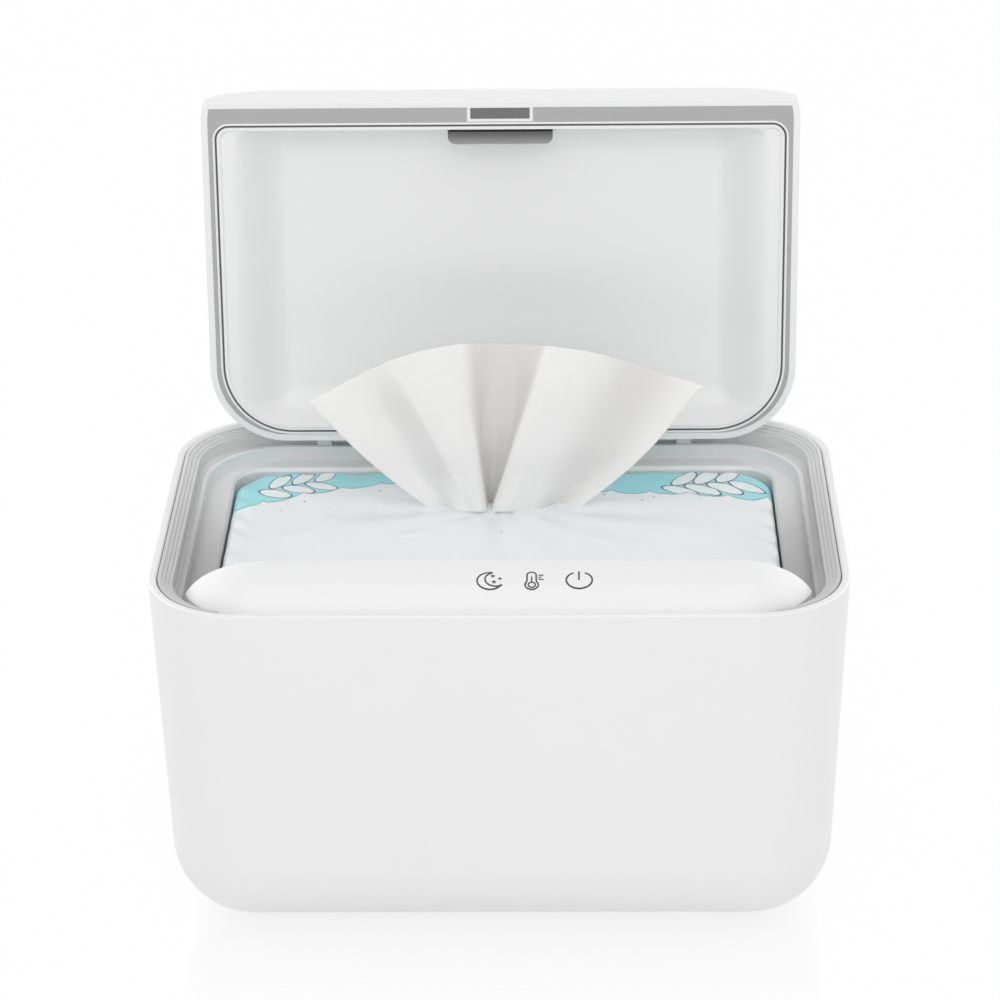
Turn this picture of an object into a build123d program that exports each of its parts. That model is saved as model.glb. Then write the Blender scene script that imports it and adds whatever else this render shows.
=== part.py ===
from build123d import *
from math import atan2, cos, degrees, pi, radians, sin, tan
import os

# Baby wipe warmer with its lid open, in millimetres.
# Lengths marked "below the rim" or "above the rim" count from the casing's top edge.

# Casing
case_width = 220.0
case_depth = 150.0
case_corner = 30.0
case_height = 119.2
case_draft = 2.0
case_wall = 2.6
case_foot_round = 26.0
foot_height = 1.5
rim_z = foot_height + case_height
floor_z = foot_height - rim_z
rim_bevel = 0.5
inner_bevel = 17.0
post_size = 7.4
post_hole_radius = 1.2
post_hole_low = -26.0
side_post_y = -44.0

# Ribbed light ring along the inside of the rim
ring_gap = 0.35
ring_steps = 4
ring_step_width = 1.14
ring_step_drop = 0.65
ring_top = 0.3
ring_width = ring_steps * ring_step_width
ring_foot_top = -6.6
ring_foot_clear = 0.12
groove_inset = 1.2
groove_width = 2.2
groove_top = -5.2
strip_width = 1.6
strip_thick = 0.8
lamp_length = 2.0
lamp_width = 1.2
lamp_height = 0.7
lamp_pitch = 14.0
side_lamps = 6
rear_lamps = 10

# Inner tank, its lip, its sealing ledge and its well
lip_half_width = 99.2
lip_rear = 64.2
lip_corner = 26.5
lip_thick = 1.5
lip_below = 5.6
ledge_below = 11.0
flange_below = 9.2
tank_wall = 2.0
well_half_width = 91.0
well_front = -46.5
well_rear = 58.0
well_corner = 10.0
well_depth = 64.0
mouth_bevel = 0.7
mouth_lean = 30.0
tank_screw_radius = 1.15
tank_screw_low = -24.0
tank_screw_head = 2.2
tank_screw_sink = 1.3

# Pillow form shared by the lid and the control panel
pillow_half_width = 98.6
pillow_front = -71.8
pillow_rear = 63.9
pillow_corner = 25.5
pillow_shoulder = -2.6
pillow_rise = 11.8
cut_y = -53.15
cut_gap = 0.22
panel_wall = 1.8
panel_step_front = -66.6
panel_step_top = 1.8
panel_foot_top = -3.0
touch_board_low = -0.8
touch_board_thick = 1.2
touch_board_left = -14.0
touch_board_right = 40.0
touch_board_front = -65.6
touch_board_rear = -57.5
touch_pads = (-3.0, 11.0, 25.0)
touch_pad_radius = 3.2
touch_pad_y = -62.0
carrier_margin = 1.0
carrier_side = 4.0
carrier_wall = 2.5
carrier_plate = 1.6

# Lid
lid_rim = -10.75
shell_thick = 2.2
shell_front_thick = 1.6
seal_half_width = 94.95
seal_front = -46.4
seal_rear = 61.55
seal_front_corner = 5.5
seal_rear_corner = 24.0
seal_lip = 0.7
seal_groove = 0.7
seal_groove_depth = 2.2
seal_width = 2.4
seal_proud = 0.15
seal_seat = 3.1
liner_thick = 1.4
liner_depth = 14.0
liner_wall = 4.5
liner_corner = 21.0
liner_roll = 17.0
liner_front_corner = 6.4
liner_clear = 1.0
liner_step = 0.4
liner_outer_wall = 10.4
liner_bevel = 7.5

# Lid hinge
hinge_y = 65.05
hinge_below = 1.6
hinge_reach = 72.0
open_angle = 95.3
knuckle_radius = 2.2
pin_radius = 1.0
pin_play = 0.05
hinge_spread = 54.0
lid_knuckle_length = 9.4
knuckle_room = 0.3
ear_length = 5.0
ear_gap = 0.3
stop_length = 4.0
stop_rise = 0.85

# Magnetic catch
catch_half_width = 10.8
catch_front = -52.1
catch_rear = -46.6
magnet_half_width = 9.7
magnet_depth = 3.6
magnet_thick = 2.0
holder_half_width = 17.3
holder_reach = 4.1
holder_round = 2.6
magnet_inset = 0.7
magnet_cover = 0.9

# Power inlet at the rear
inlet_x = 70.0
inlet_z = 30.0
inlet_radius = 5.8
inlet_face = 64.5
inlet_wall = 2.2
jack_size = 11.0
jack_length = 14.0
jack_depth = 9.5
jack_radius = 2.85
jack_pin_radius = 1.0

# Underside
cover_length = 130.0
cover_depth = 64.0
cover_thick = 2.0
cover_corner = 6.0
cover_play = 0.25
cover_seat = 7.0
cover_screw_inset = 3.6
cover_screw_radius = 0.98
cover_screw_head = 2.6
vent_slots = 7
vent_pitch = 9.0
vent_length = 16.0
vent_width = 2.4
vent_row = 17.0
foot_radius = 6.0
foot_x = 74.0
foot_y = 38.5

# Heater and boards
plate_width = 150.0
plate_depth = 80.0
plate_thick = 1.5
film_thick = 0.4
pad_thick = 4.0
board_width = 84.0
board_depth = 46.0
board_height = 12.0
board_thick = 1.6
pillar_size = 4.6
pillar_x = 38.0
pillar_y = 19.0

# Wipes pack and the wipe standing out of it
pack_half_width = 90.3
pack_clear = 0.6
pack_edge_below = 12.3
pack_crown = 1.8
pack_slope = 34.0
wipe_y = 21.0
wipe_lean = 8.0
wipe_thick = 1.2
wipe_folds = 6
runs_per_fold = 6
wipe_slit = 23.0
wipe_left_tip = (-62, 36)
wipe_top = (0, 55.5)
wipe_right_tip = (66, 41)


def plate(half_width, front, rear, front_corner, rear_corner):
    """Flat outline with its own radii at the front and at the rear corners."""
    face = Pos(0, (front + rear) / 2) * Rectangle(2 * half_width, rear - front)
    face = fillet(face.vertices().sort_by(Axis.Y)[:2], front_corner)
    return fillet(face.vertices().sort_by(Axis.Y)[-2:], rear_corner)


def slab(face, low, high):
    """The outline as a prism between two heights above the rim."""
    return extrude(Pos(0, 0, rim_z + low) * face, high - low)


def block(low, high):
    """A box from its two corners, in heights above the rim."""
    size = [high[axis] - low[axis] for axis in range(3)]
    middle = [(high[axis] + low[axis]) / 2 for axis in range(3)]
    return Pos(middle[0], middle[1], middle[2] + rim_z) * Box(*size)


def rod(radius, start, end):
    """A cylinder between two points in heights above the rim."""
    foot = Vector(*start) + Vector(0, 0, rim_z)
    path = Vector(*end) - Vector(*start)
    return extrude(Plane(foot, z_dir=path) * Circle(radius), path.length)


# ---------------------------------------------------------------- casing

def casing_form():
    """Tapering tub, its leaning wall rolled under in one broad arc at the foot."""
    reach = case_corner
    lean = case_height * tan(radians(case_draft))
    wall_foot = (reach - lean, floor_z)
    profile = [(0, 0), (0, floor_z), wall_foot, (reach, 0)]
    section = make_face(Polyline(*profile, close=True))
    corner = section.vertices().sort_by_distance(Vector(*wall_foot))[0]
    section = fillet(corner, case_foot_round)
    half_depth = case_depth / 2
    return rolled_block(section, case_width / 2, -half_depth, half_depth, reach, floor_z, 0)


def casing_room():
    """Space inside the tub, bevelled at its foot where the outside rolls under."""
    room = extrude(Pos(0, 0, rim_z) * casing_inner(0), floor_z + case_wall, taper=case_draft)
    return chamfer(room.faces().sort_by(Axis.Z)[0].edges(), inner_bevel)


def casing_inner(inset):
    """Plan of the space inside the casing's rim, drawn in by an inset."""
    draw_in = 2 * (case_wall + inset)
    return RectangleRounded(case_width - draw_in, case_depth - draw_in, case_corner - draw_in / 2)


def post_places():
    """Two posts in the rear corners and two at the sides, all under the light ring."""
    middle = ring_gap + ring_width / 2
    shift = (case_corner - case_wall) * (1 - cos(radians(45))) + middle * cos(radians(45))
    rear_x = case_width / 2 - case_wall - shift
    rear_y = case_depth / 2 - case_wall - shift
    side_x = case_width / 2 - case_wall - middle
    return [(-rear_x, rear_y), (rear_x, rear_y), (-side_x, side_post_y), (side_x, side_post_y)]


def outer_casing():
    outer = casing_form()
    casing = outer - casing_room()
    post_top = -flange_below - tank_wall
    half = post_size / 2
    for x, y in post_places():
        casing += block((x - half, y - half, floor_z), (x + half, y + half, post_top)) & outer
        casing -= rod(post_hole_radius, (x, y, post_hole_low), (x, y, post_top))
    casing += slab(cover_outline(cover_seat - 1), floor_z, floor_z + case_wall + cover_thick)
    casing -= slab(cover_outline(cover_play), floor_z, floor_z + cover_thick)
    casing -= slab(cover_outline(-cover_seat), floor_z, floor_z + 2 * cover_seat)
    for x, y in cover_screw_places():
        casing -= rod(cover_screw_radius + 0.02, (x, y, floor_z), (x, y, floor_z + cover_seat))
    casing += inlet_rod(inlet_radius + inlet_wall) & outer
    casing -= inlet_rod(inlet_radius)
    edge = casing.edges().filter_by_position(Axis.Z, rim_z - 0.01, rim_z + 0.01)
    return chamfer(edge, rim_bevel)


def inlet_rod(radius):
    """A rod along the power inlet's axis, out through the rear wall."""
    z = inlet_z - rim_z
    return rod(radius, (inlet_x, inlet_face, z), (inlet_x, case_depth / 2 + 5, z))


def cover_outline(spread):
    """Outline of the underside cover, let out by a distance all round."""
    corner = max(cover_corner + spread, 3)
    return RectangleRounded(cover_length + 2 * spread, cover_depth + 2 * spread, corner)


def cover_screw_places():
    x = cover_length / 2 - cover_screw_inset
    return [(-x, 0), (x, 0)]


def bottom_cover():
    cover = slab(cover_outline(0), floor_z, floor_z + cover_thick)
    for row in (-1, 1):
        for column in range(vent_slots):
            x = (column - (vent_slots - 1) / 2) * vent_pitch
            slot = Pos(x, row * vent_row) * Rectangle(vent_width, vent_length)
            cover -= slab(slot, floor_z, floor_z + cover_thick)
    for x, y in cover_screw_places():
        cover -= rod(cover_screw_radius + 0.7, (x, y, floor_z), (x, y, floor_z + cover_thick))
    return cover


def cover_screws():
    screws = []
    for x, y in cover_screw_places():
        head = rod(cover_screw_head, (x, y, floor_z - 0.9), (x, y, floor_z))
        screws.append(head + rod(cover_screw_radius, (x, y, floor_z), (x, y, floor_z + 4.4)))
    return screws


def foot_pad(side, end):
    x = side * foot_x
    y = end * foot_y
    return rod(foot_radius, (x, y, -rim_z), (x, y, floor_z))


# ---------------------------------------------------------------- light ring and tank

def light_ring():
    ring = None
    for step in range(ring_steps):
        outer = casing_inner(ring_gap + step * ring_step_width)
        inner = casing_inner(ring_gap + (step + 1) * ring_step_width)
        top = -ring_top - step * ring_step_drop
        tier = slab(outer - inner, -flange_below, top)
        ring = tier if ring is None else ring + tier
    groove_start = ring_gap + groove_inset
    groove = casing_inner(groove_start) - casing_inner(groove_start + groove_width)
    ring -= slab(groove, -flange_below, groove_top)
    ring += ring_foot()
    ring -= slab(pillow_plate(-0.5), -20, 5) & in_front_of_cut(0)
    return ring - block((-86, -90, -20), (86, cut_y, 5))


def ring_foot():
    """Floor of the channel between the ring's lowest step and the tank's lip."""
    outline = casing_inner(ring_gap + ring_width - 0.4) - lip_plate(-lip_thick - ring_foot_clear)
    foot = slab(outline, -flange_below, ring_foot_top)
    return foot - block((-hinge_reach, cut_y, -20), (hinge_reach, 90, 5))


def lamp_strip(lamps):
    """A narrow board along x with a row of small lamps on it."""
    low = -flange_below
    reach = lamps * lamp_pitch / 2 + 1
    strip = block((-reach, -strip_width / 2, low), (reach, strip_width / 2, low + strip_thick))
    for index in range(lamps):
        x = (index - (lamps - 1) / 2) * lamp_pitch
        start = (x - lamp_length / 2, -lamp_width / 2, low + strip_thick)
        strip += block(start, (x + lamp_length / 2, lamp_width / 2, low + strip_thick + lamp_height))
    return strip


def light_boards():
    """Three strips of small lamps lying in the ring's groove."""
    offset = case_wall + ring_gap + groove_inset + groove_width / 2
    side_x = case_width / 2 - offset
    sides = [Pos(x, 0, 0) * Rot(0, 0, 90) * lamp_strip(side_lamps) for x in (-side_x, side_x)]
    return sides + [Pos(0, case_depth / 2 - offset, 0) * lamp_strip(rear_lamps)]


def lip_plate(inset):
    return plate(lip_half_width - inset, cut_y, lip_rear - inset, 0.2, lip_corner - inset)


def well_plate(inset):
    corner = well_corner - inset
    return plate(well_half_width - inset, well_front + inset, well_rear - inset, corner, corner)


def inner_tank():
    flange = casing_inner(0.5)
    tank = slab(flange, -flange_below - tank_wall, -flange_below)
    tank += slab(lip_plate(-lip_thick), -ledge_below - tank_wall, -lip_below)
    tank += slab(well_plate(-tank_wall), -ledge_below - well_depth - tank_wall, -ledge_below)
    tank -= slab(lip_plate(0), -ledge_below, 5)
    tank -= slab(well_plate(0), -ledge_below - well_depth, 5)
    mouth = Pos(0, 0, rim_z - ledge_below) * well_plate(-mouth_bevel)
    tank -= extrude(mouth, -2 * mouth_bevel, taper=mouth_lean)
    for x, y in post_places():
        tank -= rod(tank_screw_radius + 0.35, (x, y, post_hole_low), (x, y, 0))
        tank -= rod(tank_screw_head + 0.2, (x, y, -flange_below - tank_screw_sink), (x, y, 0))
    for side in (-1, 1):
        tank += hinge_ears(side)
    return tank - base_magnet_form(0.1)


def ear_starts(side):
    """Where each fixed ear begins along the hinge line on one side."""
    near = hinge_spread - lid_knuckle_length / 2 - ear_gap - ear_length
    far = hinge_spread + lid_knuckle_length / 2 + ear_gap
    starts = (near, far)
    return starts if side > 0 else tuple(-start - ear_length for start in starts)


def hinge_rod(radius, start, length):
    return rod(radius, (start, hinge_y, -hinge_below), (start + length, hinge_y, -hinge_below))


def hinge_ears(side):
    """Two ears and a stop block that stand behind the lip."""
    leg_front = lip_rear + lip_thick - 0.2
    leg_rear = hinge_y + knuckle_radius
    ears = None
    for start in ear_starts(side):
        ear = hinge_rod(knuckle_radius, start, ear_length)
        ear += block((start, leg_front, -flange_below), (start + ear_length, leg_rear, -hinge_below))
        ear -= hinge_rod(pin_radius + 0.02, start, ear_length)
        ears = ear if ears is None else ears + ear
    stop_start = side * (hinge_spread - lid_knuckle_length / 2 - ear_gap - ear_length)
    stop_x = sorted((stop_start, stop_start - side * stop_length))
    stop_top = -hinge_below + stop_rise
    return ears + block((stop_x[0], leg_front, -flange_below), (stop_x[1], leg_rear, stop_top))


def base_magnet_form(gap):
    """The magnet under the ledge's front, let out by a gap for its pocket."""
    front = cut_y + magnet_inset
    top = -ledge_below - magnet_cover
    low = (-magnet_half_width - gap, front - gap, top - magnet_thick - 5 * gap)
    return block(low, (magnet_half_width + gap, front + magnet_depth + gap, top))


def tank_screws():
    screws = []
    for x, y in post_places():
        seat = -flange_below - tank_screw_sink
        head = rod(tank_screw_head, (x, y, seat), (x, y, -flange_below - 0.1))
        screws.append(head + rod(tank_screw_radius, (x, y, tank_screw_low), (x, y, seat)))
    return screws


# ---------------------------------------------------------------- heater and electronics

tank_floor = -ledge_below - well_depth - tank_wall


def under_tank(width, depth, gap, thick):
    """A flat layer that lies a gap below the tank's floor."""
    middle = (well_front + well_rear) / 2
    layer = Pos(0, middle) * RectangleRounded(width, depth, 4)
    return slab(layer, tank_floor - gap - thick, tank_floor - gap)


def heating_plate():
    return under_tank(plate_width, plate_depth, 0, plate_thick)


def heater_film():
    return under_tank(plate_width - 10, plate_depth - 10, plate_thick, film_thick)


def insulation_pad():
    pad = under_tank(plate_width, plate_depth, plate_thick + film_thick, pad_thick)
    return pad - slab(Pos(45, 5) * Rectangle(20, 26), tank_floor - 20, tank_floor)


def temperature_sensor():
    low = tank_floor - plate_thick - film_thick
    bead = block((40, -3, low - 2.4), (47, 1, low))
    return fillet(bead.edges().filter_by(Axis.X), 0.9)


def thermal_fuse():
    body_radius = 1.6
    z = tank_floor - plate_thick - film_thick - body_radius
    return rod(body_radius, (38, 10, z), (52, 10, z))


def main_board():
    """Circuit board with a relay, a chip, a plug socket and two capacitors."""
    low = board_height - rim_z
    top = low + board_thick
    board = slab(RectangleRounded(board_width, board_depth, 2), low, top)
    board += block((-30, -14, top), (-18, -2, top + 4.4))
    board += block((-6, -8, top), (6, 4, top + 1.6))
    board += block((22, 8, top), (34, 16, top + 5.4))
    for x in (14, 24):
        board += rod(2.5, (x, -12, top), (x, -12, top + 6.4))
    return board


def board_pillars():
    low = floor_z + cover_thick
    high = board_height - rim_z
    half = pillar_size / 2
    places = [(x, y) for x in (-pillar_x, pillar_x) for y in (-pillar_y, pillar_y)]
    return [block((x - half, y - half, low), (x + half, y + half, high)) for x, y in places]


def dc_jack():
    z = inlet_z - rim_z
    half = jack_size / 2
    bore_end = inlet_face - jack_depth
    body = block((inlet_x - half, inlet_face - jack_length, z - half), (inlet_x + half, inlet_face, z + half))
    body -= rod(jack_radius, (inlet_x, bore_end, z), (inlet_x, inlet_face, z))
    return body + rod(jack_pin_radius, (inlet_x, bore_end, z), (inlet_x, inlet_face - 1, z))


# ---------------------------------------------------------------- pillow, control panel

def pillow_plate(inset):
    corner = pillow_corner - inset
    return plate(pillow_half_width - inset, pillow_front + inset, pillow_rear - inset, corner, corner)


def edge_section(reach, bottom, shoulder, crown, roll):
    """Half-section of a rounded edge, from a corner's axis at zero out to the wall.

    The wall turns over a tight arc into a broad arc that meets the crown level."""
    rise = crown - shoulder
    knee = (reach - 0.3 * roll, shoulder + 0.62 * rise)
    broad_run = 0.7 * roll
    broad_drop = 0.38 * rise
    broad_radius = (broad_run ** 2 + broad_drop ** 2) / (2 * broad_drop)
    slope = atan2(broad_run, broad_radius - broad_drop)
    tight = TangentArc(knee, (reach, shoulder), tangent=(cos(slope), -sin(slope)))
    broad = TangentArc(knee, (reach - roll, crown), tangent=(-cos(slope), sin(slope)))
    outline = [(0, crown), (0, bottom), (reach, bottom), (reach, shoulder)]
    if roll < reach:
        outline.insert(0, (reach - roll, crown))
    return make_face([tight, broad, Polyline(*outline)])


def rolled_block(section, half_width, front, rear, reach, bottom, crown):
    """One edge section turned round four corners and drawn along the four sides."""
    side_x = half_width - reach
    side_y = (rear - front) / 2 - reach
    middle = (rear + front) / 2
    solid = block((-side_x, middle - side_y, bottom), (side_x, middle + side_y, crown))
    for turn, (x, y) in enumerate(((1, -1), (1, 1), (-1, 1), (-1, -1))):
        corner = Pos(x * side_x, middle + y * side_y, rim_z) * Rot(0, 0, 90 * turn)
        upright = corner * Rot(90, 0, 0) * section
        run = 2 * (side_x if turn % 2 else side_y)
        solid += extrude(upright, amount=run, dir=Vector(0, 0, 1).cross(corner.x_axis.direction))
        solid += revolve(upright, Axis(corner.position, (0, 0, 1)), -90)
    return solid


def pillow_form(inset, bottom):
    """Upright wall with a broad soft roll up to a flat crown."""
    reach = pillow_corner - inset
    crown = pillow_shoulder + pillow_rise - inset
    section = edge_section(reach, bottom, pillow_shoulder, crown, reach)
    return rolled_block(section, pillow_half_width - inset, pillow_front + inset,
                        pillow_rear - inset, reach, bottom, crown)


def behind_cut(gap):
    return block((-120, cut_y + gap, -60), (120, 120, 60))


def in_front_of_cut(gap):
    return block((-120, -120, -60), (120, cut_y - gap, 60))


def control_panel():
    """Front slice of the pillow over a pocket for the touch board and its carrier."""
    skin = pillow_form(0, -flange_below) & in_front_of_cut(cut_gap)
    half_x = pillow_half_width - pillow_corner
    front = pillow_front + panel_wall + 1
    rear = cut_y - panel_wall
    lower = block((-half_x, front, -flange_below - 1), (half_x, rear, panel_foot_top))
    upper = block((-half_x, panel_step_front, -flange_below - 1), (half_x, rear, panel_step_top))
    return skin - lower - upper


def touch_board():
    """Board with one sensing pad under each printed sign."""
    top = touch_board_low + touch_board_thick
    low = (touch_board_left, touch_board_front, touch_board_low)
    board = block(low, (touch_board_right, touch_board_rear, top))
    for x in touch_pads:
        board += rod(touch_pad_radius, (x, touch_pad_y, top), (x, touch_pad_y, top + touch_board_thick))
    return board


def touch_board_carrier():
    left = touch_board_left - carrier_side
    right = touch_board_right + carrier_side
    front = touch_board_front - carrier_margin
    rear = touch_board_rear + carrier_margin
    carrier = block((left, front, -flange_below), (right, rear, touch_board_low))
    low = (left + carrier_wall, front + carrier_wall, -flange_below - 1)
    return carrier - block(low, (right - carrier_wall, rear - carrier_wall, touch_board_low - carrier_plate))


# ---------------------------------------------------------------- lid, modelled closed

def lid_shell():
    skin = pillow_form(0, lid_rim) & behind_cut(cut_gap)
    room = pillow_form(shell_thick, lid_rim - 1) & behind_cut(cut_gap + shell_front_thick)
    shell = skin - room
    room_radius = knuckle_radius + knuckle_room
    for side in (-1, 1):
        for start in ear_starts(side):
            shell -= hinge_rod(room_radius, start - knuckle_room, ear_length + 2 * knuckle_room)
        start = side * hinge_spread - lid_knuckle_length / 2
        arm = block((start, pillow_rear - 0.6, -hinge_below - knuckle_radius),
                    (start + lid_knuckle_length, hinge_y, -hinge_below + knuckle_radius))
        knuckle = hinge_rod(knuckle_radius, start, lid_knuckle_length) + (arm & skin)
        shell += knuckle
        shell -= hinge_rod(pin_radius + pin_play, start, lid_knuckle_length)
    return shell - catch_space()


def catch_space():
    return block((-catch_half_width, catch_front, lid_rim - 1), (catch_half_width, catch_rear, lid_rim + 3.2))


def seal_plate(inset):
    """Outline of the seal in the lid's rim, drawn in by an inset."""
    return plate(seal_half_width - inset, seal_front + inset, seal_rear - inset,
                 max(seal_front_corner - inset, 2.0), seal_rear_corner - inset)


def lid_seal():
    ring = slab(seal_plate(0) - seal_plate(seal_width), lid_rim - seal_proud, lid_rim + seal_seat)
    groove = seal_plate(seal_lip) - seal_plate(seal_lip + seal_groove)
    return ring - slab(groove, lid_rim - 1, lid_rim + seal_groove_depth)


def lid_trim():
    """Frame between the shell and the seal, widest along the front."""
    outer = pillow_plate(shell_thick + 0.05)
    band = slab(outer, lid_rim, lid_rim + seal_seat) & behind_cut(cut_gap + shell_front_thick + 0.05)
    band -= slab(seal_plate(-0.05), lid_rim - 1, lid_rim + 4)
    band &= block((-120, -120, -30), (120, pillow_rear - pillow_corner, 30))
    return band - catch_space()


def liner_form(bottom):
    """Tray form inside the lid, rounded at the rear and mitred in the front corners."""
    draw_in = seal_width + liner_step
    half_width = seal_half_width - draw_in
    front = seal_front + draw_in
    rear = seal_rear - draw_in
    crown = lid_rim + liner_depth
    section = edge_section(liner_corner, bottom, lid_rim + liner_wall, crown, liner_roll)
    tray = rolled_block(section, half_width, front, rear, liner_corner, bottom, crown)
    side_edge = Pos(half_width - liner_corner, front, rim_z) * Rot(90, 0, 0) * section
    side = extrude(side_edge, amount=-front, dir=(0, 1, 0))
    across = side + mirror(side, Plane.YZ)
    across += block((-half_width + liner_corner, front, bottom), (half_width - liner_corner, 0, crown))
    front_edge = Pos(-half_width, front + liner_corner, rim_z) * Rot(0, 0, -90) * Rot(90, 0, 0) * section
    along = extrude(front_edge, amount=2 * half_width, dir=(1, 0, 0))
    along += block((-half_width, front + liner_corner, bottom), (half_width, 0, crown))
    corners = plate(half_width + liner_clear, front - liner_clear, rear + liner_clear,
                    liner_front_corner, liner_corner + liner_clear)
    return tray + (across & along & slab(corners, bottom, crown))


def liner_outside():
    """Outside of the tray, which the shell hides: a block with a sloped edge."""
    draw_in = seal_width + 0.05
    low = lid_rim + 0.1
    knee = lid_rim + liner_outer_wall
    top = lid_rim + liner_depth + liner_thick
    slope = degrees(atan2(liner_bevel, top - knee))
    crown = extrude(Pos(0, 0, rim_z + knee) * seal_plate(draw_in), amount=top - knee, taper=slope)
    return slab(seal_plate(draw_in), low, knee) + crown


def lid_liner():
    rim = pillow_plate(shell_thick) - seal_plate(3)
    flange = slab(rim, lid_rim + seal_seat, lid_rim + seal_seat + liner_thick)
    flange &= behind_cut(cut_gap + shell_front_thick)
    flange &= block((-120, -90, -30), (120, seal_rear - 2, 30))
    return liner_outside() + flange - liner_form(lid_rim - 1)


def magnet_frame():
    high = (catch_half_width, catch_rear, lid_rim + seal_seat)
    frame = block((-catch_half_width, catch_front, lid_rim), high)
    return frame - magnet_room(0.05)


def magnet_room(gap):
    middle = (catch_front + catch_rear) / 2
    low = (-magnet_half_width - gap, middle - magnet_depth / 2 - gap, lid_rim - gap)
    high = (magnet_half_width + gap, middle + magnet_depth / 2 + gap, lid_rim + magnet_thick + gap)
    return block(low, high)


def lid_magnet():
    return magnet_room(0) - block((-20, -60, lid_rim - 1), (20, -40, lid_rim + 0.2))


def magnet_holder():
    """Dark catch block on the inside of the lid's front wall."""
    front = seal_front + seal_width + 1.0
    low = (-holder_half_width, front, lid_rim + 0.5)
    bar = block(low, (holder_half_width, front + holder_reach, lid_rim + 3.8))
    rear_edges = bar.edges().filter_by(Axis.Z).sort_by(Axis.Y)[-2:]
    return fillet(rear_edges, holder_round)


def hinge_pin(side):
    start = min(ear_starts(side)) + 0.2
    length = 2 * ear_length + 2 * ear_gap + lid_knuckle_length - 0.4
    return hinge_rod(pin_radius, start, length)


def opened(solid):
    """Swing a lid piece from closed to its rest pose."""
    axis = Axis((0, hinge_y, rim_z - hinge_below), (1, 0, 0))
    return solid.rotate(axis, -open_angle)


# ---------------------------------------------------------------- wipes

def wipes_pack():
    """Soft pack that fills the well, with a low crown."""
    half_depth = (well_rear - well_front) / 2 - pack_clear
    middle = (well_front + well_rear) / 2
    low = -ledge_below - well_depth
    body = Pos(0, middle) * RectangleRounded(2 * pack_half_width, 2 * half_depth, 9)
    pack = slab(body, low, -pack_edge_below)
    pack = chamfer(pack.faces().sort_by(Axis.Z)[0].edges(), 5)
    levels = []
    for share in (0, 0.25, 0.55, 1.0):
        draw_in = pack_slope * share
        top = RectangleRounded(2 * (pack_half_width - draw_in), 2 * (half_depth - draw_in), 9)
        height = rim_z - pack_edge_below + pack_crown * sin(radians(90 * share))
        levels.append(Pos(0, middle, height) * top)
    return pack + loft(levels, ruled=True)


def wave_band(half_width, swing, height):
    """A thin band that folds forward and back in short straight runs."""
    runs = wipe_folds * runs_per_fold
    front = []
    rear = []
    for index in range(runs + 1):
        x = -half_width + 2 * half_width * index / runs
        y = -swing * sin(pi * wipe_folds * index / runs)
        front.append((x, y - wipe_thick / 2))
        rear.append((x, y + wipe_thick / 2))
    return Pos(0, 0, rim_z + height) * make_face(Polyline(*front, *reversed(rear), close=True))


def wipe():
    """A single wipe, gathered in the pack's slit and fanned out above it."""
    foot = -pack_edge_below + pack_crown + 0.4
    low = Pos(0, wipe_y) * wave_band(24, 2.6, foot)
    high = Pos(0, wipe_y - wipe_lean) * wave_band(88, 7.0, 62)
    fan = loft([low, high], ruled=True)
    top_edge = ThreePointArc(wipe_left_tip, wipe_top, wipe_right_tip)
    right_edge = ThreePointArc(wipe_right_tip, (47, 15), (wipe_slit, foot))
    left_edge = ThreePointArc(wipe_left_tip, (-44, 12.5), (-wipe_slit, foot))
    outline = make_face([top_edge, right_edge, left_edge, Line((-wipe_slit, foot), (wipe_slit, foot))])
    cutter = extrude(Plane.XZ.offset(-60) * outline, 120)
    return fan & Pos(0, 0, rim_z) * cutter


# ---------------------------------------------------------------- whole object

def lid_nodes():
    closed = {
        "lid_shell": lid_shell(),
        "lid_liner": lid_liner(),
        "lid_trim": lid_trim(),
        "lid_seal": lid_seal(),
        "magnet_frame": magnet_frame(),
        "lid_magnet": lid_magnet(),
        "magnet_holder": magnet_holder(),
    }
    return {name: opened(solid) for name, solid in closed.items()}


def base_nodes():
    nodes = {
        "outer_casing": outer_casing(),
        "bottom_cover": bottom_cover(),
        "cover_screws": cover_screws(),
        "light_ring": light_ring(),
        "light_boards": light_boards(),
        "inner_tank": inner_tank(),
        "tank_screws": tank_screws(),
        "base_magnet": base_magnet_form(0),
        "heating_plate": heating_plate(),
        "heater_film": heater_film(),
        "insulation_pad": insulation_pad(),
        "temperature_sensor": temperature_sensor(),
        "thermal_fuse": thermal_fuse(),
        "main_board": main_board(),
        "board_pillars": board_pillars(),
        "dc_jack": dc_jack(),
        "control_panel": control_panel(),
        "touch_board": touch_board(),
        "touch_board_carrier": touch_board_carrier(),
        "wipes_pack": wipes_pack(),
        "wipe": wipe(),
    }
    for side, side_name in ((-1, "left"), (1, "right")):
        nodes["hinge_pin_" + side_name] = hinge_pin(side)
        for end, end_name in ((-1, "front"), (1, "rear")):
            nodes["foot_pad_" + end_name + "_" + side_name] = foot_pad(side, end)
    return nodes


def as_one(shape):
    """One node: a solid as it is, or several loose solids kept together."""
    pieces = shape if isinstance(shape, list) else shape.solids()
    return pieces[0] if len(pieces) == 1 else Compound(children=list(pieces))


os.makedirs("parts", exist_ok=True)
nodes = base_nodes() | lid_nodes()
lid_back = nodes["lid_shell"].bounding_box().max.Y
middle_y = (lid_back - case_depth / 2) / 2
for name, shape in nodes.items():
    node = Pos(0, -middle_y, 0) * as_one(shape)
    export_step(node, "parts/" + name + ".step")
print("middle_y", middle_y)
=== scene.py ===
from functools import cached_property
from math import atan2, cos, exp, hypot, pi, radians, sin, sqrt

import bpy
from mathutils import Matrix, Vector, noise
from mathutils.bvhtree import BVHTree


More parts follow.
